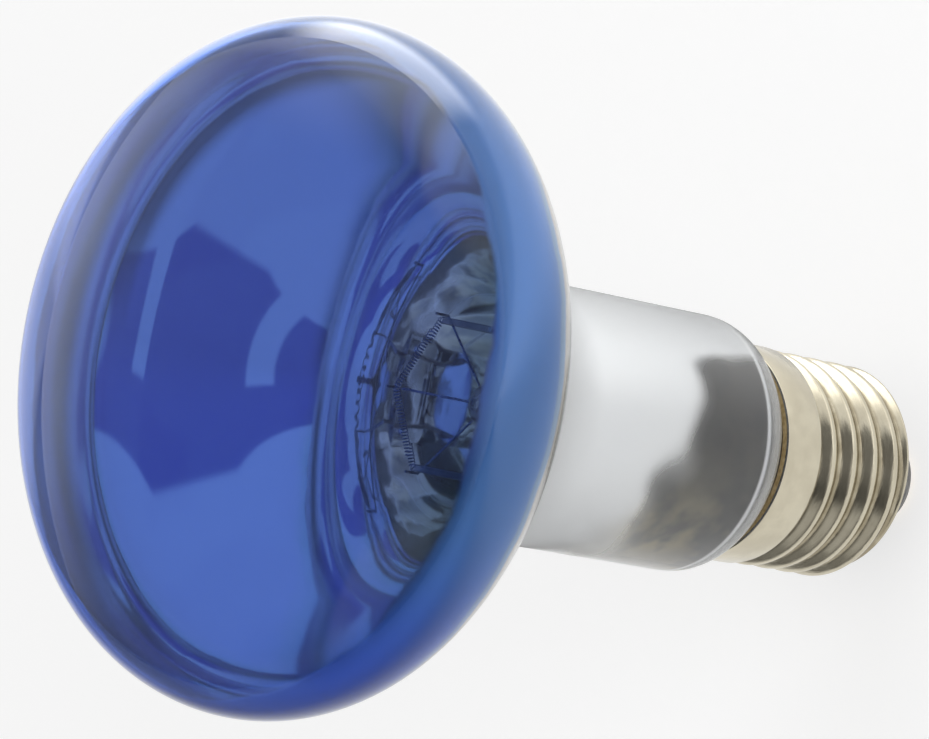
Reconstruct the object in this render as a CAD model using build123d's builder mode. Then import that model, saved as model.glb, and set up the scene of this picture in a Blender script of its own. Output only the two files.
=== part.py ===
from build123d import *
import os
from math import atan2, ceil, cos, degrees, radians, sin, sqrt, tan

# Blown reflector bulb, from the centre contact at Z = 0 up to the crown of its face
overall_length = 120.1
bulb_diameter = 80.0
face_radius = 66.9
rim_radius = 12.2
cone_angle = 56.0
neck_diameter = 31.0
neck_fillet_radius = 24.0
shoulder_radius = 4.2
shoulder_angle = 55.0
rim_gap = 0.8
glass_wall = 0.9

# Rolled screw cap: plain skirt over a round-crested thread
cap_height = 31.6
skirt_diameter = 26.4
skirt_length = 5.6
thread_diameter = 26.1
thread_depth = 1.0
thread_pitch = 3.629
thread_steps = 6
thread_start_angle = 29.0
shell_wall = 0.3
shell_mouth_height = 8.9
shell_mouth_diameter = 22.4
thread_run_out = 1.0

# Insulator, contact plate and solder at the foot of the cap
contact_diameter = 9.6
contact_thickness = 0.5
insulator_land = 0.6
solder_height = 0.7
solder_diameter = 4.6
solder_tip_diameter = 3.0
lead_hole_diameter = 1.6
side_solder_diameter = 1.4
side_solder_height = 0.2
side_solder_taper = 20.0

# Glass stem with its pinched press, exhaust tube, rod and button
stem_diameter = 10.8
exhaust_diameter = 4.6
exhaust_tip_height = 15.0
flare_height = 6.0
pinch_length = 7.0
press_length = 9.0
press_width = 13.0
press_thickness = 4.6
press_corner_radius = 1.8
blow_hole_diameter = 1.8
rod_diameter = 2.6
rod_length = 5.0
button_diameter = 4.4
button_band = 1.6
button_cone = 1.0

# Filament, its supports and the two lead wires
filament_above_neck = 9.5
filament_above_button = 5.0
filament_ring_radius = 10.0
filament_diameter = 0.9
support_count = 3
support_step = 60.0
support_diameter = 0.3
lead_diameter = 0.5
lead_clearance = 0.1
lead_passage = 1.4
lead_rise = 2.0
lead_upright = 3.0
hook_clearance = 0.05
fillet_share = 0.9

# Circles that the bulb's outline is drawn from
bulb_radius = bulb_diameter / 2
neck_radius = neck_diameter / 2
rim_center_x = bulb_radius - rim_radius
rim_above_face_center = sqrt((face_radius - rim_radius) ** 2 - rim_center_x ** 2)
face_center_z = overall_length - face_radius
rim_center_z = face_center_z + rim_above_face_center
face_start_angle = degrees(atan2(rim_above_face_center, rim_center_x))
cone_cos = cos(radians(cone_angle))
cone_sin = sin(radians(cone_angle))
neck_fillet_x = neck_radius + neck_fillet_radius
cone_overhang = (neck_fillet_x - rim_center_x - rim_radius * cone_cos) * cone_cos
neck_top = rim_center_z - rim_radius * cone_sin + (cone_overhang - neck_fillet_radius) / cone_sin

# Seat of the bulb in the cap, with room beside the glass for a lead in its cement
skirt_radius = skirt_diameter / 2
skirt_bore_radius = skirt_radius - shell_wall
cement_gap = lead_diameter + 2 * lead_clearance
throat_radius = skirt_bore_radius - cement_gap
skirt_bottom = cap_height - skirt_length
flare_bottom = skirt_bottom + lead_passage
seal_height = flare_bottom + glass_wall
shoulder_step = neck_radius - throat_radius
shoulder_fall = 1 - cos(radians(shoulder_angle))
shoulder_round = min(shoulder_radius, fillet_share * shoulder_step / shoulder_fall)
shoulder_rise = shoulder_step / tan(radians(shoulder_angle))
throat_top = cap_height + rim_gap
neck_bottom = throat_top + shoulder_rise + shoulder_round * tan(radians(shoulder_angle / 2))
wall_miter = glass_wall * tan(radians(shoulder_angle / 2))

# Heights of the mount that stands in the neck
filament_height = neck_top + filament_above_neck
button_height = filament_height - filament_above_button
press_top = button_height - rod_length
press_bottom = press_top - press_length
stem_top = press_bottom - pinch_length
stem_radius = stem_diameter / 2
stem_bore_radius = stem_radius - glass_wall
exhaust_radius = exhaust_diameter / 2
exhaust_bore_radius = exhaust_radius - glass_wall
blow_hole_height = stem_top + blow_hole_diameter

# Heights at the foot of the cap
contact_bottom = solder_height
contact_top = contact_bottom + contact_thickness
thread_radius = thread_diameter / 2 - thread_depth / 2
shell_bore_radius = thread_diameter / 2 - thread_depth - shell_wall
mouth_bore_radius = shell_mouth_diameter / 2 - shell_wall
thread_bottom = shell_mouth_height + thread_run_out
thread_top = skirt_bottom - thread_run_out
insulator_top = shell_mouth_height + shell_bore_radius - mouth_bore_radius

os.makedirs("parts", exist_ok=True)


def reflector_outline(inset):
    """Half outline of face, rim and reflector, moved into the glass by inset; returns its ends."""
    face = CenterArc((0, face_center_z), face_radius - inset, face_start_angle, 90 - face_start_angle)
    rim = CenterArc(
        (rim_center_x, rim_center_z), rim_radius - inset, -cone_angle, cone_angle + face_start_angle
    )
    flare = CenterArc((neck_fillet_x, neck_top), neck_fillet_radius + inset, 180 - cone_angle, cone_angle)
    Line(rim @ 0, flare @ 0)
    return face @ 1, flare @ 1


def ring_point(index, radius, height):
    """Point on the filament's ring; the first and the last index are the two lead tips."""
    angle = radians(90 + (index - (support_count + 1) / 2) * support_step)
    return Vector(radius * cos(angle), radius * sin(angle), height)


# Bulb: one blown piece, face, rim, reflector, neck and shoulder in an even wall
with BuildPart() as glass_bulb:
    with BuildSketch(Plane.XZ):
        with BuildLine():
            outer_crown, outer_neck = reflector_outline(0)
            inner_crown, inner_neck = reflector_outline(glass_wall)
            Line(outer_crown, inner_crown)
            shoulder = CenterArc(
                (neck_radius - shoulder_round, neck_bottom), shoulder_round, -shoulder_angle, shoulder_angle
            )
            Line(outer_neck, shoulder @ 1)
            Polyline(
                shoulder @ 0,
                (throat_radius, throat_top),
                (throat_radius, seal_height),
                (throat_radius - glass_wall, seal_height),
                (throat_radius - glass_wall, throat_top + wall_miter),
                (neck_radius - glass_wall, throat_top + wall_miter + shoulder_rise),
                inner_neck,
            )
        make_face()
    revolve(axis=Axis.Z)
glass_bulb.part.label = "glass_bulb"
export_step(glass_bulb.part, "parts/glass_bulb.step")

# Cap shell: each level of a single-start round thread is a circle set off the axis by half the
# thread's depth, so the thread is lofted through circles whose centre walks round the axis
with BuildPart() as cap_shell:
    with BuildSketch(Plane.XY.offset(shell_mouth_height)):
        Circle(shell_mouth_diameter / 2)
    thread_levels = ceil((thread_top - thread_bottom) / thread_pitch * thread_steps)
    for level in range(thread_levels + 1):
        level_height = thread_bottom + (thread_top - thread_bottom) * level / thread_levels
        turn = radians(thread_start_angle + 360 * (level_height - thread_bottom) / thread_pitch)
        with BuildSketch(Plane.XY.offset(level_height)):
            with Locations((thread_depth / 2 * cos(turn), thread_depth / 2 * sin(turn))):
                Circle(thread_radius)
    with BuildSketch(Plane.XY.offset(skirt_bottom)):
        Circle(skirt_radius)
    loft(ruled=True)
    with BuildSketch(Plane.XY.offset(skirt_bottom)):
        Circle(skirt_radius)
    extrude(amount=skirt_length)
    with BuildSketch(Plane.XZ):
        with BuildLine():
            Polyline(
                (0, shell_mouth_height),
                (mouth_bore_radius, shell_mouth_height),
                (shell_bore_radius, insulator_top),
                (shell_bore_radius, skirt_bottom),
                (skirt_bore_radius, skirt_bottom),
                (skirt_bore_radius, cap_height),
                (0, cap_height),
                close=True,
            )
        make_face()
    revolve(axis=Axis.Z, mode=Mode.SUBTRACT)
cap_shell.part.label = "cap_shell"
export_step(cap_shell.part, "parts/cap_shell.step")

# Insulator: black glass cast into the shell's mouth, with a hole for the centre lead
with BuildPart() as cap_insulator:
    with BuildSketch(Plane.XZ):
        with BuildLine():
            Polyline(
                (lead_hole_diameter / 2, contact_top),
                (contact_diameter / 2 + insulator_land, contact_top),
                (mouth_bore_radius, shell_mouth_height),
                (shell_bore_radius, insulator_top),
                (lead_hole_diameter / 2, insulator_top),
                close=True,
            )
        make_face()
    revolve(axis=Axis.Z)
cap_insulator.part.label = "cap_insulator"
export_step(cap_insulator.part, "parts/cap_insulator.step")

# Contact plate: pressed disc with a bevelled edge and a hole for the lead
with BuildPart() as contact_plate:
    with BuildSketch(Plane.XY.offset(contact_bottom)):
        Circle(contact_diameter / 2)
        Circle(lead_hole_diameter / 2, mode=Mode.SUBTRACT)
    extrude(amount=contact_thickness)
    plate_rim = contact_plate.edges().group_by(Axis.Z)[0].sort_by(SortBy.RADIUS)[-1]
    chamfer(plate_rim, contact_thickness / 2)
contact_plate.part.label = "contact_plate"
export_step(contact_plate.part, "parts/contact_plate.step")

# Centre solder: a drop with a flattened tip that fills the plate's hole
with BuildPart() as contact_solder:
    with BuildSketch(Plane.XZ):
        with BuildLine():
            Polyline(
                (0, contact_top),
                (0, 0),
                (solder_tip_diameter / 2, 0),
                (solder_diameter / 2, contact_bottom),
                (lead_hole_diameter / 2, contact_bottom),
                (lead_hole_diameter / 2, contact_top),
                close=True,
            )
        make_face()
    revolve(axis=Axis.Z)
contact_solder.part.label = "contact_solder"
export_step(contact_solder.part, "parts/contact_solder.step")

# Lead wires: from the filament's ends down through the press; one goes out over the rim of the
# cap, the other down the middle to the contact
lead_offset = (exhaust_radius + stem_bore_radius) / 2
lead_slot_radius = throat_radius + cement_gap / 2
lead_turn_height = skirt_bottom + lead_passage / 2
lead_over_rim = cap_height + lead_diameter / 2 + lead_clearance
side_tip = ring_point(0, filament_ring_radius, filament_height)
centre_tip = ring_point(support_count + 1, filament_ring_radius, filament_height)
lead_tip_height = filament_height + filament_diameter
side_route = [
    (side_tip.X, side_tip.Y, lead_tip_height),
    (side_tip.X, side_tip.Y, filament_height - lead_upright),
    (lead_offset, 0, press_top + lead_rise),
    (lead_offset, 0, lead_turn_height),
    (lead_slot_radius, 0, lead_turn_height),
    (lead_slot_radius, 0, lead_over_rim),
    (skirt_radius, 0, lead_over_rim),
]
centre_route = [
    (centre_tip.X, centre_tip.Y, lead_tip_height),
    (centre_tip.X, centre_tip.Y, filament_height - lead_upright),
    (-lead_offset, 0, press_top + lead_rise),
    (-lead_offset, 0, exhaust_tip_height),
    (0, 0, insulator_top + lead_rise),
    (0, 0, contact_top),
]

with BuildPart() as side_lead:
    with BuildLine():
        Polyline(*side_route)
    with BuildSketch(Plane(origin=side_route[0])):
        Circle(lead_diameter / 2)
    sweep(transition=Transition.RIGHT)
side_lead.part.label = "side_lead"
export_step(side_lead.part, "parts/side_lead.step")

with BuildPart() as centre_lead:
    with BuildLine():
        Polyline(*centre_route)
    with BuildSketch(Plane(origin=centre_route[0])):
        Circle(lead_diameter / 2)
    sweep(transition=Transition.RIGHT)
centre_lead.part.label = "centre_lead"
export_step(centre_lead.part, "parts/centre_lead.step")

# Support wires: each runs out of the glass button and bends up round the filament's corner
corner_radius = filament_diameter / 2 / cos(radians(support_step / 2))
hook_radius = corner_radius + support_diameter / 2 + hook_clearance
for index in range(1, support_count + 1):
    outwards = ring_point(index, 1, 0)
    with BuildPart() as support_wire:
        with BuildLine(Plane((0, 0, 0), x_dir=outwards, z_dir=outwards.cross(Vector(0, 0, 1)))) as support_line:
            Polyline(
                ((button_diameter + support_diameter) / 2, button_height),
                (filament_ring_radius + hook_radius, filament_height - 2 * hook_radius),
                (filament_ring_radius + hook_radius, filament_height + hook_radius),
            )
        with BuildSketch(Plane(origin=support_line.line @ 0, z_dir=support_line.line % 0)):
            Circle(support_diameter / 2)
        sweep(transition=Transition.RIGHT)
    support_wire.part.label = f"support_wire_{index}"
    export_step(support_wire.part, f"parts/support_wire_{index}.step")

# Filament: the coil's outer form, stretched in straight spans from lead to lead over the supports
with BuildPart() as filament:
    coil_corners = [
        ring_point(index, filament_ring_radius, filament_height) for index in range(support_count + 2)
    ]
    end_gap = lead_diameter / 2 + hook_clearance
    coil_start = coil_corners[0] + (coil_corners[1] - coil_corners[0]).normalized() * end_gap
    coil_end = coil_corners[-1] + (coil_corners[-2] - coil_corners[-1]).normalized() * end_gap
    with BuildLine() as coil_line:
        Polyline(coil_start, *coil_corners[1:-1], coil_end)
    with BuildSketch(Plane(origin=coil_line.line @ 0, z_dir=coil_line.line % 0)):
        Circle(filament_diameter / 2)
    sweep(transition=Transition.RIGHT)
filament.part.label = "filament"
export_step(filament.part, "parts/filament.step")

# Stem: flared tube pinched flat on the leads, with the exhaust tube inside and a rod and
# button on top, all fused into one piece of glass
with BuildPart() as glass_stem:
    with BuildSketch(Plane.XZ):
        with BuildLine():
            Polyline(
                (throat_radius, flare_bottom),
                (throat_radius, seal_height),
                (throat_radius - glass_wall, seal_height),
                (stem_radius, seal_height + flare_height),
                (stem_radius, stem_top),
                (stem_bore_radius, stem_top),
                (stem_bore_radius, flare_bottom + flare_height),
                (throat_radius - glass_wall, flare_bottom),
                close=True,
            )
        make_face()
    revolve(axis=Axis.Z)
    with BuildSketch(Plane.XY.offset(stem_top)):
        Circle(stem_radius)
    with BuildSketch(Plane.XY.offset(press_bottom)):
        RectangleRounded(press_width, press_thickness, press_corner_radius)
    loft(ruled=True)
    with BuildSketch(Plane.XY.offset(press_bottom)):
        RectangleRounded(press_width, press_thickness, press_corner_radius)
    extrude(amount=press_length)
    with BuildSketch(Plane.XZ):
        with BuildLine():
            Polyline(
                (0, press_top),
                (rod_diameter / 2, press_top),
                (rod_diameter / 2, button_height - button_band / 2 - button_cone),
                (button_diameter / 2, button_height - button_band / 2),
                (button_diameter / 2, button_height + button_band / 2),
                (rod_diameter / 2, button_height + button_band / 2 + button_cone),
                (0, button_height + button_band / 2 + button_cone),
                close=True,
            )
        make_face()
    revolve(axis=Axis.Z)
    with BuildSketch(Plane.XY.offset(exhaust_tip_height)):
        Circle(exhaust_radius)
    extrude(until=Until.NEXT)
    with BuildSketch(Plane.XY.offset(exhaust_tip_height + glass_wall)):
        Circle(exhaust_bore_radius)
    extrude(amount=blow_hole_height - exhaust_tip_height - glass_wall, mode=Mode.SUBTRACT)
    with BuildSketch(Plane.XZ):
        with Locations((0, blow_hole_height)):
            Circle(blow_hole_diameter / 2)
    extrude(amount=-stem_diameter, mode=Mode.SUBTRACT)
    add([side_lead.part, centre_lead.part], mode=Mode.SUBTRACT)
glass_stem.part.label = "glass_stem"
export_step(glass_stem.part, "parts/glass_stem.step")

# Basing cement: ring between the bulb's throat and the skirt, slotted for the side lead
with BuildPart() as basing_cement:
    with BuildSketch(Plane.XY.offset(flare_bottom)):
        Circle(skirt_bore_radius)
        Circle(throat_radius, mode=Mode.SUBTRACT)
        with Locations((lead_slot_radius, 0)):
            Rectangle(2 * cement_gap, lead_diameter, mode=Mode.SUBTRACT)
    extrude(amount=cap_height - flare_bottom)
basing_cement.part.label = "basing_cement"
export_step(basing_cement.part, "parts/basing_cement.step")

# Side solder: a bead that holds the side lead on top of the cap's rim
with BuildPart() as side_solder:
    with BuildSketch(Plane.YZ.offset(skirt_bore_radius)):
        with Locations((0, lead_over_rim)):
            Circle(side_solder_diameter / 2)
    extrude(amount=shell_wall + side_solder_height, taper=side_solder_taper)
    split(bisect_by=Plane.XY.offset(cap_height), keep=Keep.TOP)
    add(side_lead.part, mode=Mode.SUBTRACT)
side_solder.part.label = "side_solder"
export_step(side_solder.part, "parts/side_solder.step")
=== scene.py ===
from math import atan2, copysign, cos, degrees, hypot, pi, radians, sin, sqrt, tan

import bmesh
import bpy
from mathutils import Matrix, Vector


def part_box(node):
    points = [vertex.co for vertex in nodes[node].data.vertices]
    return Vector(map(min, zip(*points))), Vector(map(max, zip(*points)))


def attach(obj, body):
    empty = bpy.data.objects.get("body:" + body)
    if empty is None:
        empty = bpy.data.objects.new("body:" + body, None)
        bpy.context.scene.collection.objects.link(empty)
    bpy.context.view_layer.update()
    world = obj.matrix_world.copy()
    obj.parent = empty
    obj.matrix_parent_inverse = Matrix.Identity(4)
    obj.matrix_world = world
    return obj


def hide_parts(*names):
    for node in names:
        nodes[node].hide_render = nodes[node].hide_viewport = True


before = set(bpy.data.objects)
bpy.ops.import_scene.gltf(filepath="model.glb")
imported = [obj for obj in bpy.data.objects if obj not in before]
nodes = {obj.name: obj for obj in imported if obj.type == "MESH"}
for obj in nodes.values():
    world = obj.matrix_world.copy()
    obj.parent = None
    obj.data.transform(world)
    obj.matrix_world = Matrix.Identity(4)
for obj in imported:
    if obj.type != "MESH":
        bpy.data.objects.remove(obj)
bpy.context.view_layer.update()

# The cap's shell is thin sheet brass, rolled into a round thread and plated with nickel. Its plain skirt
# goes round the bulb's throat, and its mouth is turned in round the black glass.
shell_low, shell_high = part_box("cap_shell")
skirt_radius = shell_high.x
skirt_length = 0.0056
skirt_lip = 0.0001
shell_wall = 0.0003
mouth_radius = 0.0112
thread_radius = 0.01255
thread_depth = 0.001
thread_pitch = 0.003629
thread_run_out = 0.001
thread_start = radians(29)
thread_bottom = shell_low.z + thread_run_out
skirt_bottom = shell_high.z - skirt_length
thread_top = skirt_bottom - thread_run_out
root_radius = thread_radius - thread_depth / 2
mouth_bore = mouth_radius - shell_wall
thread_bore = root_radius - shell_wall
skirt_bore = skirt_radius - shell_wall
insulator_top = shell_low.z + thread_bore - mouth_bore
shell_segments = 160
thread_levels = 110


def arc(center, radius, start, end, steps):
    """Points of an arc in the XZ plane, with its angles in degrees."""
    turns = [radians(start + (end - start) * step / steps) for step in range(steps + 1)]
    return [Vector((center[0] + radius * cos(turn), 0, center[1] + radius * sin(turn))) for turn in turns]


def eased(value, low, high):
    """0 below low, 1 above high and a smooth step between them."""
    share = min(max((value - low) / (high - low), 0), 1)
    return share * share * (3 - 2 * share)


def spun_piece(name, outlines, segments, crease=40):
    """Half sections spun about the Z axis, each with a material index of its own.

    The piece is smooth but for edges that turn by more than crease degrees.
    """
    shape = bmesh.new()
    for index, outline in enumerate(outlines):
        before = set(shape.faces)
        points = [shape.verts.new(point) for point in outline]
        sides = [shape.edges.new(pair) for pair in zip(points, points[1:])]
        bmesh.ops.spin(
            shape, geom=points + sides, cent=(0, 0, 0), axis=(0, 0, 1), dvec=(0, 0, 0),
            angle=2 * pi, steps=segments, use_merge=True, use_duplicate=False,
        )
        for face in set(shape.faces) - before:
            face.material_index = index
            face.smooth = True
    bmesh.ops.remove_doubles(shape, verts=shape.verts, dist=1e-6)
    bmesh.ops.recalc_face_normals(shape, faces=shape.faces)
    mesh = bpy.data.meshes.new(name)
    shape.to_mesh(mesh)
    shape.free()
    mesh.set_sharp_from_angle(angle=radians(crease))
    piece = bpy.data.objects.new(name, mesh)
    bpy.context.collection.objects.link(piece)
    return piece


outer_wall = []
for level in range(thread_levels + 1):
    height = shell_low.z + (skirt_bottom - shell_low.z) * level / thread_levels
    reach = mouth_radius + (thread_radius - mouth_radius) * sqrt(eased(height, shell_low.z, thread_bottom))
    reach += (skirt_radius - thread_radius) * eased(height, thread_top, skirt_bottom)
    outer_wall.append(Vector((reach, 0, height)))
shell_section = [
    *outer_wall,
    *arc((skirt_radius - skirt_lip, shell_high.z - skirt_lip), skirt_lip, 0, 90, steps=4),
    Vector((skirt_bore, 0, shell_high.z)),
    Vector((skirt_bore, 0, skirt_bottom)),
    Vector((thread_bore, 0, skirt_bottom)),
    Vector((thread_bore, 0, insulator_top)),
    Vector((mouth_bore, 0, shell_low.z)),
    outer_wall[0],
]
shell = spun_piece("threaded_shell", [shell_section], shell_segments)
for vertex in shell.data.vertices:
    reach = hypot(vertex.co.x, vertex.co.y)
    height = vertex.co.z
    on_turned_mouth = height < insulator_top and reach > mouth_bore + shell_wall / 2
    if reach > root_radius or on_turned_mouth:
        turn = thread_start + 2 * pi * (height - thread_bottom) / thread_pitch
        swell = thread_depth / 2 * cos(atan2(vertex.co.y, vertex.co.x) - turn)
        swell *= eased(height, shell_low.z, thread_bottom) - eased(height, thread_top, skirt_bottom)
        vertex.co.xy *= 1 + swell / reach


def finish(name):
    """A new material with its tree and its Principled shader."""
    material = bpy.data.materials.new(name)
    material.use_nodes = True
    return material, material.node_tree, material.node_tree.nodes["Principled BSDF"]


def metal(name):
    """A finish of bare metal."""
    material, tree, shader = finish(name)
    shader.inputs["Metallic"].default_value = 1.0
    return material, tree, shader


def feed(tree, socket, value):
    """Gives a socket a number, a colour or the value of another socket."""
    if isinstance(value, (int, float)):
        socket.default_value = value
    elif isinstance(value, tuple):
        socket.default_value = (*value, 1)
    else:
        tree.links.new(value, socket)


def place(tree):
    """Object coordinates, split into X, Y and Z."""
    split = tree.nodes.new("ShaderNodeSeparateXYZ")
    tree.links.new(tree.nodes.new("ShaderNodeTexCoord").outputs["Object"], split.inputs[0])
    return split.outputs


def noise(tree, lumps, detail=3.0, stretch=(1, 1, 1)):
    """Noise on Object coordinates, with so many lumps in a metre; stretch divides that along an axis."""
    cloud = tree.nodes.new("ShaderNodeTexNoise")
    cloud.inputs["Scale"].default_value = lumps
    cloud.inputs["Detail"].default_value = detail
    spread = tree.nodes.new("ShaderNodeMapping")
    spread.inputs["Scale"].default_value = [1 / length for length in stretch]
    tree.links.new(tree.nodes.new("ShaderNodeTexCoord").outputs["Object"], spread.inputs["Vector"])
    tree.links.new(spread.outputs["Vector"], cloud.inputs["Vector"])
    return cloud.outputs["Fac"]


def graded(tree, value, low, high, at_low, at_high):
    """A smooth ramp from at_low to at_high while value goes from low to high."""
    ramp = tree.nodes.new("ShaderNodeMapRange")
    ramp.interpolation_type = "SMOOTHSTEP"
    tree.links.new(value, ramp.inputs["Value"])
    for name, number in zip(("From Min", "From Max", "To Min", "To Max"), (low, high, at_low, at_high)):
        ramp.inputs[name].default_value = number
    return ramp.outputs["Result"]


def mottled(tree, at_low, at_high, lumps, span=(0.3, 0.7), **texture):
    """A value that wanders from at_low to at_high where the noise goes through span."""
    return graded(tree, noise(tree, lumps, **texture), *span, at_low, at_high)


def sums(tree, operation, first, second=0.0):
    """A Math node on two sockets or numbers."""
    node = tree.nodes.new("ShaderNodeMath")
    node.operation = operation
    feed(tree, node.inputs[0], first)
    feed(tree, node.inputs[1], second)
    return node.outputs[0]


def mixed(tree, share, first, second):
    """A colour between two colours or sockets."""
    node = tree.nodes.new("ShaderNodeMix")
    node.data_type = "RGBA"
    tree.links.new(share, node.inputs["Factor"])
    feed(tree, node.inputs["A"], first)
    feed(tree, node.inputs["B"], second)
    return node.outputs["Result"]


def roughened(tree, shader, smooth, rough, lumps, **texture):
    """A roughness that wanders between two levels."""
    tree.links.new(mottled(tree, smooth, rough, lumps, **texture), shader.inputs["Roughness"])


def bumped(tree, shader, height, depth):
    """Relief on a shader, depth metres high."""
    node = tree.nodes.new("ShaderNodeBump")
    node.inputs["Distance"].default_value = depth
    tree.links.new(height, node.inputs["Height"])
    tree.links.new(node.outputs["Normal"], shader.inputs["Normal"])


def off_axis(tree):
    """Distance from the bulb's axis."""
    x, y, _ = place(tree)
    squares = sums(tree, "ADD", sums(tree, "MULTIPLY", x, x), sums(tree, "MULTIPLY", y, y))
    return sums(tree, "SQRT", squares)


nickel_bright = (0.64, 0.59, 0.46)
nickel_dull = (0.57, 0.52, 0.4)
# The thread's roots are painted a darker brown: painted shade, for the shade and dark reflections that
# gather in the roots.
root_painted_shade = (0.3, 0.255, 0.17)
root_shade_reach = 0.00035
root_shade_cover = 0.9
rolling_mark_depth = 0.000015
nickel, tree, shader = metal("rolled_nickel")
dulled = mottled(tree, 0.0, 1.0, lumps=260, span=(0.35, 0.65))
plate = mixed(tree, dulled, nickel_bright, nickel_dull)
# Painted shade: the nickel darkens towards brown within a short reach of the thread's roots.
in_root = graded(tree, off_axis(tree), root_radius, root_radius + root_shade_reach, root_shade_cover, 0.0)
root_shaded = sums(tree, "MULTIPLY", in_root, mottled(tree, 0.5, 1.0, lumps=500, span=(0.25, 0.6)))
tree.links.new(mixed(tree, root_shaded, plate, root_painted_shade), shader.inputs["Base Color"])
roughened(tree, shader, smooth=0.13, rough=0.24, lumps=700, detail=4, stretch=(1, 1, 0.2))
bumped(tree, shader, noise(tree, lumps=900, detail=2, stretch=(1, 1, 0.15)), rolling_mark_depth)
shell.data.materials.append(nickel)
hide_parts("cap_shell")
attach(shell, "root")

# Black glass is cast into the shell's mouth and keeps the contact apart from the shell. It is poured hot,
# so its face is smooth and its edges are round.
glass_foot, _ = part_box("cap_insulator")
_, plate_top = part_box("contact_plate")
land_margin = 0.0006
land_radius = plate_top.x + land_margin
cast_edge = 0.0005
cast_segments = 96
lead_hole_radius = 0.0008
cone_rise = degrees(atan2(shell_low.z - glass_foot.z, mouth_bore - land_radius))
cast_center = (land_radius - cast_edge * tan(radians(cone_rise / 2)), glass_foot.z + cast_edge)
cast_section = [
    Vector((lead_hole_radius, 0, glass_foot.z)),
    *arc(cast_center, cast_edge, -90, cone_rise - 90, steps=6),
    Vector((mouth_bore, 0, shell_low.z)),
    Vector((thread_bore, 0, insulator_top)),
    Vector((lead_hole_radius, 0, insulator_top)),
    Vector((lead_hole_radius, 0, glass_foot.z)),
]
cast_glass = spun_piece("black_cast_glass", [cast_section], cast_segments)


def two_toned(tree, shader, first, second, lumps, **texture):
    """A base colour that wanders between two tones."""
    tones = mixed(tree, mottled(tree, 0.0, 1.0, lumps, **texture), first, second)
    tree.links.new(tones, shader.inputs["Base Color"])


cast_black = (0.012, 0.012, 0.014)
cast_streak = (0.03, 0.028, 0.034)
cast_wave_depth = 0.00004
black_glass, tree, shader = finish("black_glass")
shader.inputs["IOR"].default_value = 1.52
shader.inputs["Specular IOR Level"].default_value = 0.12
two_toned(tree, shader, cast_black, cast_streak, lumps=300)
roughened(tree, shader, smooth=0.3, rough=0.45, lumps=900)
bumped(tree, shader, noise(tree, lumps=350), cast_wave_depth)
cast_glass.data.materials.append(black_glass)
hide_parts("cap_insulator")
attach(cast_glass, "root")

# The centre contact is a pressed brass disc on the black glass. A drop of solder fills its hole and holds
# the centre lead, and its tip is flattened for the lamp holder's spring. A bead of the same solder on the
# cap's rim holds the side lead.
brass_bright = (0.78, 0.6, 0.3)
brass_dull = (0.6, 0.43, 0.22)
brass, tree, shader = metal("pressed_brass")
two_toned(tree, shader, brass_bright, brass_dull, lumps=800)
roughened(tree, shader, smooth=0.25, rough=0.45, lumps=1500)


def dress(node_names, material):
    """Gives pieces that stay as they were built their finish."""
    for name in node_names:
        nodes[name].data.materials.clear()
        nodes[name].data.materials.append(material)


dress(["contact_plate"], brass)

drop_low, drop_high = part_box("contact_solder")
plate_foot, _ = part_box("contact_plate")
drop_radius = drop_high.x
drop_tip_radius = 0.0015
drop_belly = drop_radius - drop_tip_radius
drop_rise = plate_foot.z - drop_low.z
drop_segments = 48
drop_section = [
    Vector((0, 0, drop_low.z)),
    *[
        Vector((drop_tip_radius + drop_belly * point.x, 0, plate_foot.z + drop_rise * point.z))
        for point in arc((0, 0), 1, -90, 0, steps=6)
    ],
    Vector((lead_hole_radius, 0, plate_foot.z)),
    Vector((lead_hole_radius, 0, drop_high.z)),
    Vector((0, 0, drop_high.z)),
]
drop = spun_piece("contact_drop", [drop_section], drop_segments)

solder_bright = (0.62, 0.62, 0.63)
solder_dull = (0.42, 0.42, 0.42)
solder_grains = 2500
solder_grain_depth = 0.00004
solder, tree, shader = metal("dull_solder")
two_toned(tree, shader, solder_bright, solder_dull, solder_grains)
roughened(tree, shader, smooth=0.28, rough=0.5, lumps=1200)
bumped(tree, shader, noise(tree, solder_grains), solder_grain_depth)
drop.data.materials.append(solder)
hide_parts("contact_solder")
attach(drop, "root")
dress(["side_solder"], solder)

# Baked cement holds the bulb's throat in the skirt. It is a brown, gritty ring that is pressed in soft and
# just shows at the cap's rim.
cement_brown = (0.42, 0.29, 0.12)
cement_pale = (0.62, 0.47, 0.24)
cement_grains = 1800
cement_grain_detail = 5
cement_grain_depth = 0.00008
cement, tree, shader = finish("baked_cement")
two_toned(tree, shader, cement_brown, cement_pale, cement_grains, detail=cement_grain_detail)
roughened(tree, shader, smooth=0.6, rough=0.85, lumps=600)
bumped(tree, shader, noise(tree, cement_grains, cement_grain_detail), cement_grain_depth)
dress(["basing_cement"], cement)

# Two nickelled leads come up through the press to the filament, and three thin molybdenum wires stand in
# the glass button and hold the coil's corners.
lead_bright = (0.6, 0.56, 0.5)
lead_aged = (0.36, 0.32, 0.28)
lead_metal, tree, shader = metal("nickelled_wire")
two_toned(tree, shader, lead_bright, lead_aged, lumps=400)
roughened(tree, shader, smooth=0.25, rough=0.45, lumps=1500)
dress(["side_lead", "centre_lead"], lead_metal)

molybdenum_pale = (0.42, 0.42, 0.43)
molybdenum_dark = (0.25, 0.25, 0.26)
support_metal, tree, shader = metal("drawn_molybdenum")
two_toned(tree, shader, molybdenum_pale, molybdenum_dark, lumps=700)
roughened(tree, shader, smooth=0.2, rough=0.4, lumps=1500)
dress([name for name in sorted(nodes) if name.startswith("support_wire")], support_metal)

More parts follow.
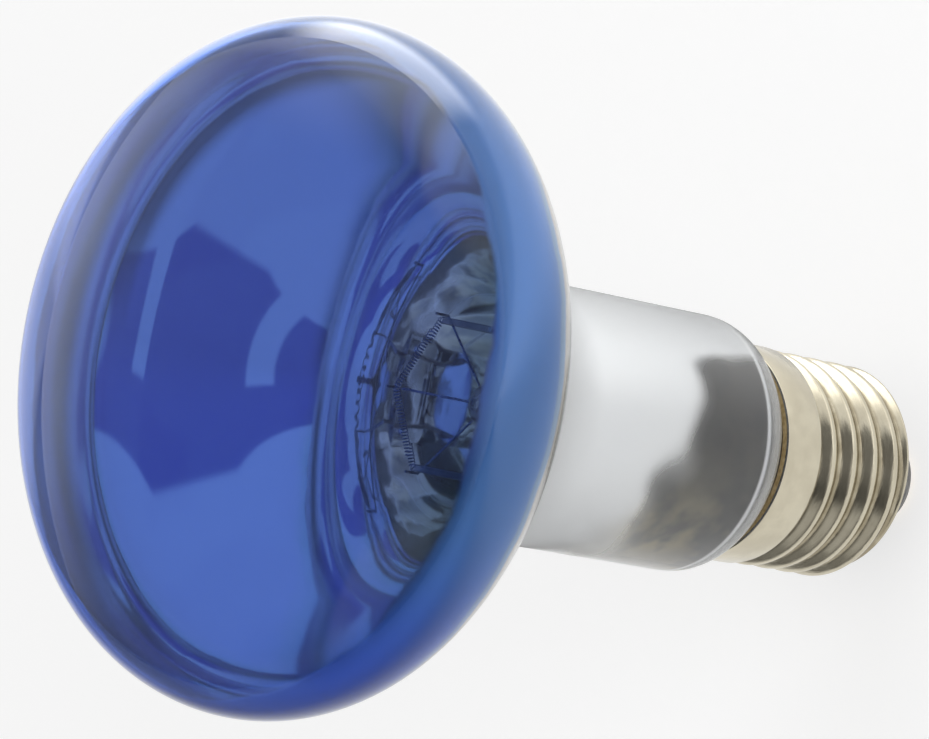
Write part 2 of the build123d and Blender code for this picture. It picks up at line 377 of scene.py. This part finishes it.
# The filament is tungsten wire wound into a fine coil and stretched in straight spans from lead to lead
# over the supports.
coil_low, coil_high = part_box("filament")
coil_radius = (coil_high.z - coil_low.z) / 2
coil_height = (coil_high.z + coil_low.z) / 2
coil_wire_radius = 0.00006
coil_pitch = 0.0004
coil_turn_points = 12
coil_ring_radius = 0.01
coil_end_gap = 0.0003
corner_turns = (-30, 30, 90, 150, 210)
corners = [
    Vector((coil_ring_radius * cos(radians(turn)), coil_ring_radius * sin(radians(turn)), coil_height))
    for turn in corner_turns
]
corners[0] += (corners[1] - corners[0]).normalized() * coil_end_gap
corners[-1] += (corners[-2] - corners[-1]).normalized() * coil_end_gap
winding_radius = coil_radius - coil_wire_radius
coil_points = []
for start, end in zip(corners, corners[1:]):
    along = (end - start).normalized()
    across = along.cross(Vector((0, 0, 1)))
    steps = round((end - start).length / coil_pitch) * coil_turn_points
    for step in range(steps):
        turn = 2 * pi * step / coil_turn_points
        winding = across * cos(turn) + Vector((0, 0, sin(turn)))
        coil_points.append(start.lerp(end, step / steps) + winding * winding_radius)
coil_curve = bpy.data.curves.new("coil", "CURVE")
coil_curve.dimensions = "3D"
coil_curve.bevel_depth = coil_wire_radius
coil_curve.bevel_resolution = 1
coil_curve.use_fill_caps = True
coil_line = coil_curve.splines.new("POLY")
coil_line.points.add(len(coil_points) - 1)
for point, spot in zip(coil_line.points, coil_points):
    point.co = (*spot, 1)
wound = bpy.data.objects.new("coil", coil_curve)
coil = bpy.data.objects.new("filament_coil", bpy.data.meshes.new_from_object(wound))
bpy.data.objects.remove(wound)
coil.data.polygons.foreach_set("use_smooth", [True] * len(coil.data.polygons))
bpy.context.collection.objects.link(coil)

tungsten_pale = (0.5, 0.5, 0.51)
tungsten_burnt = (0.34, 0.34, 0.35)
tungsten, tree, shader = metal("wound_tungsten")
two_toned(tree, shader, tungsten_pale, tungsten_burnt, lumps=500)
roughened(tree, shader, smooth=0.3, rough=0.5, lumps=2000)
coil.data.materials.append(tungsten)
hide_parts("filament")
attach(coil, "root")

# The stem is a clear glass tube, flared at its foot where it is sealed to the bulb and pinched flat at its
# top on the leads. A rod with a button stands on the press, and the exhaust tube hangs in its bore.
stem_low, stem_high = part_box("glass_stem")
bulb_low, bulb_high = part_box("glass_bulb")
glass_wall = 0.0009
seal_height = bulb_low.z
flare_radius = stem_high.x
flare_bottom = seal_height - glass_wall
flare_height = 0.006
flare_power = 2.4
flare_steps = 12
tube_radius = 0.0054
tube_bore = tube_radius - glass_wall
tube_steps = 40
bore_round = 0.001
rod_radius = 0.0013
rod_length = 0.005
rod_fillet = 0.0006
button_radius = 0.0022
button_crown = 0.0018
button_edge = 0.0009
button_height = stem_high.z - button_crown
press_length = 0.009
pinch_length = 0.007
press_top = button_height - rod_length
press_bottom = press_top - press_length
tube_top = press_bottom - pinch_length
press_half_width = 0.0065
press_half_depth = 0.0023
press_edge = 0.0011
press_squareness = 4.5
exhaust_radius = 0.0023
exhaust_gap = 0.0001
exhaust_top = tube_top - exhaust_gap
exhaust_tip = (0, stem_low.z + exhaust_radius)
stem_segments = 96


def flared(narrow, wide, bottom):
    """Points of the stem's flare, from its wide foot up to where it runs into the tube."""
    shares = [step / flare_steps for step in range(flare_steps + 1)]
    return [
        Vector((narrow + (wide - narrow) * (1 - share) ** flare_power, 0, bottom + flare_height * share))
        for share in shares
    ]


tube_rise = press_top - press_edge - tube_top
stem_outside = [
    Vector((flare_radius, 0, flare_bottom)),
    Vector((flare_radius, 0, seal_height)),
    *flared(tube_radius, flare_radius - glass_wall, seal_height),
    *[Vector((tube_radius, 0, tube_top + tube_rise * step / tube_steps)) for step in range(tube_steps + 1)],
    *arc((tube_radius - press_edge, press_top - press_edge), press_edge, 0, 90, steps=6)[1:],
    *arc((rod_radius + rod_fillet, press_top + rod_fillet), rod_fillet, 270, 180, steps=5),
    Vector((rod_radius, 0, button_height - button_crown)),
    *arc((button_radius - button_edge, button_height), button_edge, -60, 60, steps=8),
    *arc((0, button_height), button_crown, 50, 90, steps=6),
]
stem_inside = [
    Vector((0, 0, tube_top)),
    *arc((tube_bore - bore_round, tube_top - bore_round), bore_round, 90, 0, steps=5),
    *flared(tube_bore, flare_radius - glass_wall, flare_bottom)[::-1],
    stem_outside[0],
]
exhaust_tube = [
    *arc(exhaust_tip, exhaust_radius, -90, 0, steps=8),
    Vector((exhaust_radius, 0, exhaust_top)),
    Vector((exhaust_radius - glass_wall, 0, exhaust_top)),
    *arc(exhaust_tip, exhaust_radius - glass_wall, 0, -90, steps=8),
]
stem_sections = [stem_outside, stem_inside, exhaust_tube]
stem = spun_piece("pinched_stem", stem_sections, stem_segments)
for vertex in stem.data.vertices:
    height = vertex.co.z
    pinch = eased(height, tube_top, press_bottom)
    pinch -= eased(height, press_top - press_edge / 2, press_top + press_edge / 2)
    reach = hypot(vertex.co.x, vertex.co.y)
    if pinch > 0 and reach > 0:
        turn = atan2(vertex.co.y, vertex.co.x)
        wide = copysign(abs(cos(turn)) ** (2 / press_squareness), cos(turn))
        deep = copysign(abs(sin(turn)) ** (2 / press_squareness), sin(turn))
        share = reach / tube_radius
        pressed = Vector((press_half_width * wide * share, press_half_depth * deep * share, height))
        vertex.co = vertex.co.lerp(pressed, pinch)


def clear_glass(name):
    """A finish of glass that light goes through."""
    material, tree, shader = finish(name)
    shader.inputs["Transmission Weight"].default_value = 1.0
    shader.inputs["IOR"].default_value = 1.5
    return material, tree, shader


stem_clear = (0.97, 0.985, 0.985)
stem_tinge = (0.93, 0.95, 0.95)
stem_wave_depth = 0.0002
stem_glass, tree, shader = clear_glass("stem_glass")
two_toned(tree, shader, stem_clear, stem_tinge, lumps=200)
roughened(tree, shader, smooth=0.0, rough=0.06, lumps=500, span=(0.4, 0.8))
bumped(tree, shader, noise(tree, lumps=260), stem_wave_depth)
for _ in stem_sections:
    stem.data.materials.append(stem_glass)
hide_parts("glass_stem")
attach(stem, "root")

# The bulb is one blown glass piece: a domed face, a round rim, a flaring reflector and a straight neck.
# Blue lacquer covers the face and rim outside. Evaporated aluminium lines the reflector and thins out
# down the neck, where a clear window is left above the cap; the window's grey is painted shade.
bulb_radius = bulb_high.x
crown_height = bulb_high.z
face_radius = 0.0669
rim_radius = 0.0122
cone_angle = 56
neck_radius = 0.0155
neck_fillet_radius = 0.024
shoulder_radius = 0.0042
shoulder_angle = 55
throat_radius = flare_radius
throat_rise = 0.0008
throat_height = shell_high.z + throat_rise
throat_blend = 0.0012
bulb_segments = 192
bulb_crease = 60


def bulb_outline(inset):
    """Half section of the bulb from the crown down to the seal, moved into the glass by inset."""
    rim_x = bulb_radius - rim_radius
    rim_rise = sqrt((face_radius - rim_radius) ** 2 - rim_x ** 2)
    face_z = crown_height - face_radius
    rim_z = face_z + rim_rise
    face_end = degrees(atan2(rim_rise, rim_x))
    fillet_x = neck_radius + neck_fillet_radius
    slope = radians(cone_angle)
    overhang = (fillet_x - rim_x - rim_radius * cos(slope)) * cos(slope)
    fillet_z = rim_z - rim_radius * sin(slope) + (overhang - neck_fillet_radius) / sin(slope)
    fall = radians(shoulder_angle)
    shoulder_rise = (neck_radius - throat_radius) / tan(fall)
    shoulder_z = throat_height + shoulder_rise + shoulder_radius * tan(fall / 2)
    shoulder = (neck_radius - shoulder_radius, shoulder_z)
    blend = (throat_radius + throat_blend, throat_height - throat_blend * tan(fall / 2))
    return [
        *arc((0, face_z), face_radius - inset, 90, face_end, steps=28),
        *arc((rim_x, rim_z), rim_radius - inset, face_end, -cone_angle, steps=56)[1:],
        *arc((fillet_x, fillet_z), neck_fillet_radius + inset, 180 - cone_angle, 180, steps=40),
        *arc(shoulder, shoulder_radius - inset, 0, -shoulder_angle, steps=12),
        *arc(blend, throat_blend + inset, 180 - shoulder_angle, 180, steps=8),
        Vector((throat_radius - inset, 0, seal_height)),
    ]


outside = bulb_outline(0)
inside = bulb_outline(glass_wall)
bulb = spun_piece("blown_bulb", [outside, [outside[-1], *inside[::-1]]], bulb_segments, bulb_crease)

# The film's window is lower on the bulb's far side and closed on its +X side, where the film is a painted
# highlight for the band of light that the glass catches there. Its edge is wavy, because the film thins out
# there.
window_top = shell_high.z + 0.0203
window_slant = 0.25
window_drop = 0.0117
window_drop_start = (-0.002, 0.012)
# Painted highlight: the film closes over the window on the +X side.
highlight_film_cover = 0.02
highlight_film_start = (0.0085, 0.014)
window_wave = 0.0055
window_blur = 0.0045


def above_window(tree):
    """1 where the film is whole and 0 in the window, with a soft wavy edge between them."""
    x, y, z = place(tree)
    slanted = sums(tree, "ADD", z, sums(tree, "MULTIPLY", x, window_slant))
    slanted = sums(tree, "ADD", slanted, graded(tree, y, *window_drop_start, 0.0, window_drop))
    slanted = sums(tree, "ADD", slanted, graded(tree, x, *highlight_film_start, 0.0, highlight_film_cover))
    wave = mottled(tree, -window_wave, window_wave, lumps=65, span=(0.25, 0.75), detail=1.5)
    waved = sums(tree, "ADD", slanted, wave)
    return graded(tree, waved, window_top - window_blur, window_top + window_blur, 0.0, 1.0)


lacquer_edge = crown_height - 0.0252
lacquer_edge_wave = 0.0004
lacquer_edge_blur = 0.0003
lacquer_overspray = 0.0035
lacquer_thin = (crown_height - 0.0157, crown_height - 0.0077)
lacquer_cloud = 0.0015
# Painted shade: the lacquer is painted a deeper blue towards the bulb's low (-X) side.
lacquer_shade_side = (-0.034, -0.01)
lacquer_blue = (0.048, 0.142, 0.385)
lacquer_thin_blue = (0.085, 0.17, 0.6)
lacquer_shaded_blue = (0.018, 0.065, 0.4)
overspray_grey = (0.36, 0.34, 0.31)
bare_glass = (0.96, 0.97, 0.97)
neck_satin_top = crown_height - 0.0437
neck_satin_blur = 0.004
neck_satin = 0.42
lacquered, tree, shader = clear_glass("blue_lacquered_glass")
x, _, height = place(tree)
edge_wave = mottled(tree, -lacquer_edge_wave, lacquer_edge_wave, lumps=90)
edge_height = sums(tree, "ADD", height, edge_wave)
coated = graded(
    tree, edge_height, lacquer_edge - lacquer_edge_blur, lacquer_edge + lacquer_edge_blur, 0.0, 1.0
)
clouded = sums(tree, "ADD", height, mottled(tree, -lacquer_cloud, lacquer_cloud, lumps=40))
# Painted shade: deeper blue towards the low side.
low_side_shaded = mixed(tree, graded(tree, x, *lacquer_shade_side, 1.0, 0.0), lacquer_blue, lacquer_shaded_blue)
density = mixed(tree, graded(tree, clouded, *lacquer_thin, 0.0, 1.0), low_side_shaded, lacquer_thin_blue)
dust = graded(tree, edge_height, lacquer_edge - lacquer_overspray, lacquer_edge, 0.0, 1.0)
dusted = mixed(tree, dust, bare_glass, overspray_grey)
tree.links.new(mixed(tree, coated, dusted, density), shader.inputs["Base Color"])
etched = graded(
    tree, height, neck_satin_top - neck_satin_blur, neck_satin_top + neck_satin_blur, neck_satin, 0.0
)
tree.links.new(sums(tree, "MULTIPLY", etched, above_window(tree)), shader.inputs["Roughness"])

film_top = crown_height - 0.0147
film_top_wave = 0.0006
film_top_blur = 0.0004
film_cover = 0.97
film_gloss = 0.06
film_silver = (0.9, 0.91, 0.92)
film_satin = 0.26
film_satin_start = (film_top - 0.011, film_top - 0.005)
# Painted highlight: a thin silvered ring at the neck's shoulder, for the bright arc that the glass shows
# there.
glint_ring_height = shell_high.z + 0.0053
glint_ring_width = (0.0001, 0.0006)
glint_ring_cover = 0.8
# Painted shade: the window's clear glass is tinted grey, for the dim neck inside seen through it, with a
# warm patch on its low side.
window_painted_shade = (0.17, 0.17, 0.165)
window_warm = (0.5, 0.44, 0.29)
window_warm_side = (-0.012, -0.003)
window_warm_rest = 0.15
window_satin = 0.45
window_haze = (0.08, 0.7)
silvered, tree, shader = clear_glass("aluminised_glass")
x, _, height = place(tree)
top_edge = sums(tree, "ADD", height, mottled(tree, -film_top_wave, film_top_wave, lumps=60))
below_top = graded(tree, top_edge, film_top - film_top_blur, film_top + film_top_blur, 1.0, 0.0)
whole = above_window(tree)
haze = mottled(tree, *window_haze, lumps=75, span=(0.45, 0.7), detail=2.5, stretch=(1, 1, 1.8))
off_glint_ring = sums(tree, "ABSOLUTE", sums(tree, "SUBTRACT", height, glint_ring_height))
film = sums(tree, "MAXIMUM", sums(tree, "MULTIPLY", whole, film_cover), haze)
film = sums(tree, "MAXIMUM", film, graded(tree, off_glint_ring, *glint_ring_width, glint_ring_cover, 0.0))
tree.links.new(sums(tree, "MULTIPLY", below_top, film), shader.inputs["Metallic"])
satin = graded(tree, whole, 0.0, 1.0, window_satin, film_gloss)
satin = sums(tree, "MAXIMUM", satin, graded(tree, height, *film_satin_start, 0.0, film_satin))
tree.links.new(sums(tree, "MULTIPLY", satin, below_top), shader.inputs["Roughness"])
warm_side = graded(tree, x, *window_warm_side, 1.0, window_warm_rest)
warmth = sums(tree, "MULTIPLY", warm_side, mottled(tree, 0.0, 1.0, lumps=130, span=(0.42, 0.6)))
dome_or_film = mixed(tree, below_top, bare_glass, film_silver)
# Painted shade: the window's grey, with its warm patch on the low side.
window_tone = mixed(tree, warmth, window_painted_shade, window_warm)
window_tone = mixed(tree, graded(tree, off_glint_ring, *glint_ring_width, 1.0, 0.0), window_tone, film_silver)
tree.links.new(mixed(tree, whole, window_tone, dome_or_film), shader.inputs["Base Color"])

bulb.data.materials.append(lacquered)
bulb.data.materials.append(silvered)
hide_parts("glass_bulb")
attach(bulb, "root")

# The floor is white studio paper that lies flat under the bulb. Its glow, as the bulb's mirror and gloss
# show it,
# is painted light: it fades out on the low side, changes towards the far side, and carries a bank of light
# on the upper side.
floor_size = 6.0
floor_drop = 0.0002
shape = bmesh.new()
bmesh.ops.create_grid(shape, x_segments=1, y_segments=1, size=floor_size / 2)
bmesh.ops.translate(shape, verts=shape.verts, vec=(0, 0, -floor_drop))
mesh = bpy.data.meshes.new("floor")
shape.to_mesh(mesh)
shape.free()
floor = bpy.data.objects.new("floor", mesh)
bpy.context.collection.objects.link(floor)


def seen_directly(tree):
    """1 for rays from the camera, from a mirror or through glass, and 0 for the rest."""
    path = tree.nodes.new("ShaderNodeLightPath")
    glossy = sums(tree, "MAXIMUM", path.outputs["Is Glossy Ray"], path.outputs["Is Transmission Ray"])
    return sums(tree, "MAXIMUM", path.outputs["Is Camera Ray"], glossy)


def mirrored_ray(tree):
    """1 for rays from a mirror alone, because a ray through glass counts as glossy too."""
    path = tree.nodes.new("ShaderNodeLightPath")
    return sums(tree, "MULTIPLY", path.outputs["Is Glossy Ray"], path.outputs["Is Reflection Ray"])


def blended(tree, share, first, second):
    """A value between two numbers or sockets."""
    node = tree.nodes.new("ShaderNodeMix")
    tree.links.new(share, node.inputs["Factor"])
    feed(tree, node.inputs["A"], first)
    feed(tree, node.inputs["B"], second)
    return node.outputs["Result"]


# Painted light: the paper's glow as the bulb's mirror and glass see it, with its fades and its bank of
# light.
paper_grey = (0.5, 0.5, 0.5)
paper_glow = 0.62
paper_shade = 0.02
paper_shade_end = (-0.2, -0.06)
paper_lift = 0.6
paper_lift_start = (0.02, 0.09)
paper_lift_end = (0.2, 0.3)
paper_far = 1.7
paper_far_start = (0.1, 0.3)
paper_far_mirrored = 0.6
paper_far_mirrored_start = (0.3, 0.55)
paper_low = 0.8
paper_low_end = (-0.19, -0.1)
bank_turn = radians(22)
bank_start = (0.17, 0.27)
bank_spread = (0.87, 0.97)
bank_glow = 4.5
paper, tree, shader = finish("white_paper")
feed(tree, shader.inputs["Base Color"], paper_grey)
shader.inputs["Roughness"].default_value = 0.9
shader.inputs["Specular IOR Level"].default_value = 0.0
feed(tree, shader.inputs["Emission Color"], (1, 1, 1))
path = tree.nodes.new("ShaderNodeLightPath")
mirrored = mirrored_ray(tree)
across, along, _ = place(tree)
glow = graded(tree, across, *paper_shade_end, paper_shade, paper_glow)
lift = graded(tree, across, *paper_lift_start, 0.0, paper_lift)
lift = sums(tree, "MULTIPLY", lift, graded(tree, across, *paper_lift_end, 1.0, 0.0))
glow = sums(tree, "ADD", glow, lift)
far = blended(
    tree, mirrored,
    graded(tree, along, *paper_far_start, 1.0, paper_far),
    graded(tree, along, *paper_far_mirrored_start, 1.0, paper_far_mirrored),
)
glow = sums(tree, "MULTIPLY", glow, far)
low_side = graded(tree, across, *paper_low_end, paper_low, 0.0)
low_side = sums(tree, "MULTIPLY", low_side, path.outputs["Is Transmission Ray"])
glow = sums(tree, "MAXIMUM", glow, low_side)
lit = blended(tree, path.outputs["Is Camera Ray"], glow, paper_glow)
reach = off_axis(tree)
ahead = sums(tree, "MULTIPLY", across, cos(bank_turn))
ahead = sums(tree, "ADD", ahead, sums(tree, "MULTIPLY", along, sin(bank_turn)))
ahead = sums(tree, "DIVIDE", ahead, reach)
bank = graded(tree, reach, *bank_start, 0.0, bank_glow)
bank = sums(tree, "MULTIPLY", bank, graded(tree, ahead, *bank_spread, 0.0, 1.0))
bank = sums(tree, "MULTIPLY", bank, mirrored)
strength = sums(tree, "ADD", sums(tree, "MULTIPLY", seen_directly(tree), lit), bank)
tree.links.new(strength, shader.inputs["Emission Strength"])
floor.data.materials.append(paper)

# The surround is a white studio that is unlit on the camera's side, with soft lamps above and in front. Its
# fields are given by direction from the bulb, because the bulb's mirror and the cap show them.
dark_low = (-0.42, -0.97)
dark_high = (0.5, -0.02)
pale_low = (-0.7, -0.64)
pale_high = (0.15, -0.41)
edge_blur = 0.02
unlit_low = (-0.52, -0.97)
unlit_high = (0.65, -0.02)
unlit_blur = 0.08
unlit_blue = (0.28, 0.26, 0.59)
unlit_grey = (0.2, 0.2, 0.2)
horizon = (0.0, 0.1)
world = bpy.data.worlds.new("studio")
bpy.context.scene.world = world
world.use_nodes = True
tree = world.node_tree
background = tree.nodes["Background"]
split = tree.nodes.new("ShaderNodeSeparateXYZ")
outlook = tree.nodes.new("ShaderNodeTexCoord").outputs["Generated"]
tree.links.new(outlook, split.inputs[0])
over_x, over_y, over_z = split.outputs
path = tree.nodes.new("ShaderNodeLightPath")
mirrored = mirrored_ray(tree)


def patch(tree, direction, low, high, blur):
    """1 in a soft-edged rectangle of the surround above the bulb, from low to high in X and Y."""
    inside = graded(tree, direction[2], *horizon, 0.0, 1.0)
    for value, start, end in zip(direction, low, high):
        inside = sums(tree, "MULTIPLY", inside, graded(tree, value, start - blur, start + blur, 0.0, 1.0))
        inside = sums(tree, "MULTIPLY", inside, graded(tree, value, end - blur, end + blur, 1.0, 0.0))
    return inside


pale = sums(tree, "SUBTRACT", 1.0, patch(tree, split.outputs, pale_low, pale_high, edge_blur))
dark = sums(tree, "MULTIPLY", patch(tree, split.outputs, dark_low, dark_high, edge_blur), pale)
dark = sums(tree, "MULTIPLY", dark, path.outputs["Is Transmission Ray"])
unlit = sums(tree, "MULTIPLY", patch(tree, split.outputs, unlit_low, unlit_high, unlit_blur), mirrored)
unlit = sums(tree, "MAXIMUM", unlit, dark)
tint = mixed(tree, unlit, (1, 1, 1), mixed(tree, mirrored, unlit_blue, unlit_grey))
tree.links.new(tint, background.inputs["Color"])

through_side = (-0.7, 0.3)
through_low_side = 0.2
through_rise = (0.2, 0.6)
through_above = 0.85
through = sums(
    tree, "MAXIMUM",
    graded(tree, over_x, *through_side, through_low_side, 1.0),
    graded(tree, over_z, *through_rise, 0.0, through_above),
)
foot_rise = (-0.1, 0.4)
foot_levels = (0.1, 0.5)
gloss_side = (-0.8, 0.2)
front_side = (-0.1, 0.02)
front_rise = (-0.1, 0.6)
front_level = 0.25
overhead = (0.95, 0.27, 0.1)
overhead_spread = (0.72, 0.985)
overhead_glow = 1.7
glossed = sums(
    tree, "MAXIMUM",
    graded(tree, over_z, *foot_rise, *foot_levels),
    graded(tree, over_x, *gloss_side, 0.0, 1.0),
)
front = sums(
    tree, "MULTIPLY",
    graded(tree, over_y, *front_side, 0.0, 1.0),
    graded(tree, over_z, *front_rise, 0.0, 1.0),
)
glossed = sums(tree, "MULTIPLY", glossed, graded(tree, front, 0.0, 1.0, 1.0, front_level))
facing = tree.nodes.new("ShaderNodeVectorMath")
facing.operation = "DOT_PRODUCT"
facing.inputs[1].default_value = Vector(overhead).normalized()
tree.links.new(outlook, facing.inputs[0])
overhead_lit = graded(tree, facing.outputs["Value"], *overhead_spread, 0.0, overhead_glow)
glossed = sums(tree, "ADD", glossed, overhead_lit)
fill_level = 0.45
seen = blended(tree, path.outputs["Is Camera Ray"], blended(tree, mirrored, through, glossed), 1.0)
level = blended(tree, seen_directly(tree), fill_level, seen)
tree.links.new(level, background.inputs["Strength"])


def softbox(name, spot, target, width, depth, power):
    """A soft area lamp turned to its target; the mirrors show the surround's own glow in its stead."""
    data = bpy.data.lights.new(name, "AREA")
    data.shape = "RECTANGLE"
    data.size = width
    data.size_y = depth
    data.energy = power
    lamp = bpy.data.objects.new(name, data)
    lamp.location = spot
    lamp.rotation_euler = (Vector(target) - Vector(spot)).to_track_quat("-Z", "Y").to_euler()
    lamp.visible_glossy = False
    lamp.visible_transmission = False
    bpy.context.collection.objects.link(lamp)


bulb_middle = (0, 0, crown_height / 2)
softbox("top_softbox", spot=(0.95, 0.15, 0.25), target=bulb_middle, width=1.0, depth=0.6, power=4)
softbox("front_softbox", spot=(0.2, -0.9, 0.6), target=bulb_middle, width=0.8, depth=0.8, power=4)

# The camera stands close to the bulb with a long lens. It is tilted to the bulb's axis and rolled, so that
# the bulb lies in the picture as it does in the photograph.
photo_width = 929
photo_height = 739
focal_pixels = 6677.8
camera_distance = 0.7514
axis_tilt = radians(46.645)
picture_roll = radians(11.076)
pivot_height = crown_height - 0.01955
pivot_pixel = (285.9, 366.9)
sensor_width = 36
bulb_x = Vector((sin(picture_roll), cos(picture_roll), 0))
bulb_z = Vector((-sin(axis_tilt) * cos(picture_roll), sin(axis_tilt) * sin(picture_roll), cos(axis_tilt)))
bulb_y = bulb_z.cross(bulb_x)
to_bulb = Matrix((bulb_x, bulb_y, bulb_z))
pivot_seen = Vector((
    (pivot_pixel[0] - photo_width / 2) / focal_pixels * camera_distance,
    (photo_height / 2 - pivot_pixel[1]) / focal_pixels * camera_distance,
    -camera_distance,
))
camera_data = bpy.data.cameras.new("camera")
camera_data.sensor_fit = "HORIZONTAL"
camera_data.sensor_width = sensor_width
camera_data.lens = focal_pixels / photo_width * sensor_width
camera_data.clip_start = 0.01
camera_data.clip_end = 50
camera = bpy.data.objects.new("camera", camera_data)
camera_place = Vector((0, 0, pivot_height)) - to_bulb @ pivot_seen
camera.matrix_world = Matrix.Translation(camera_place) @ to_bulb.to_4x4()
bpy.context.collection.objects.link(camera)
bpy.context.scene.camera = camera

bpy.context.scene.view_settings.view_transform = "Standard"
